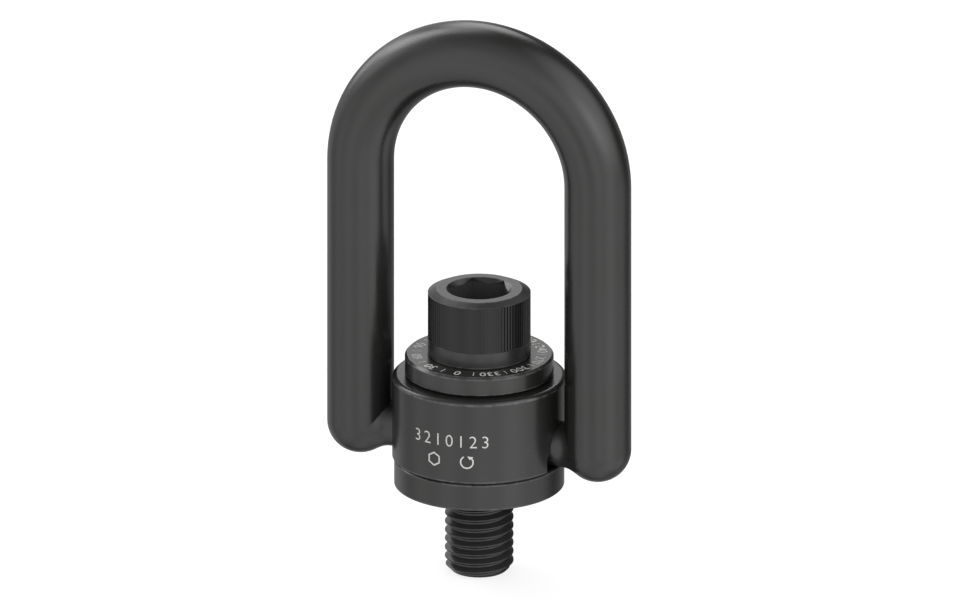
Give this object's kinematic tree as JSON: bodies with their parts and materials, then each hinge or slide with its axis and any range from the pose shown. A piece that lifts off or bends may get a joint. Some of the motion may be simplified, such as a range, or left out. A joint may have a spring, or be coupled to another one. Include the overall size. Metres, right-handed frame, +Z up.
{
  "type": "swivel hoist ring",
  "caption": "Centre-pull swivel hoist ring with a forged bail that pivots in a body turning about a flanged bushing, held down by a hexagon socket bolt and washer.",
  "frame": {"origin": "centre of the flange's underside, on the bolt's axis, where the part seats on its load", "axes": "+Z up along the bolt and the swivel axis, away from the load; X along the bail's trunnions with the bail upright; -Y towards the side that carries the marks"},
  "size_m": [0.0886, 0.0482, 0.1607],
  "materials": {
    "body_steel": "machined alloy steel, satin black oxide",
    "forged_steel": "forged alloy steel, fine blasted skin, satin black oxide",
    "washer_steel": "hardened steel, satin black oxide, light marking ring",
    "bolt_steel": "hardened alloy steel, oiled black oxide, knurled head",
    "spring_steel": "spring steel, blackened"
  },
  "bodies": {
    "base": {"flange_bushing": "body_steel"},
    "swivel": {"swivel_body": "body_steel"},
    "bail": {"bail": "forged_steel"},
    "washer": {"top_washer": "washer_steel"},
    "bolt": {"bolt": "bolt_steel", "retaining_ring": "spring_steel"}
  },
  "joints": [
    {"name": "swivel", "type": "hinge", "parent": "base", "child": "swivel", "pos_m": [0, 0, 0.02], "axis": [0, 0, 1], "continuous": true},
    {"name": "bail_pivot", "type": "hinge", "parent": "swivel", "child": "bail", "pos_m": [0, 0, 0.01425], "axis": [1, 0, 0], "range_deg": [-90, 90]},
    {"name": "washer_float", "type": "slide", "parent": "base", "child": "washer", "axis": [0, 0, 1], "range_m": [0, 0.0006]},
    {"name": "bolt_turn", "type": "hinge", "parent": "washer", "child": "bolt", "pos_m": [0, 0, 0.04], "axis": [0, 0, 1], "continuous": true}
  ]
}
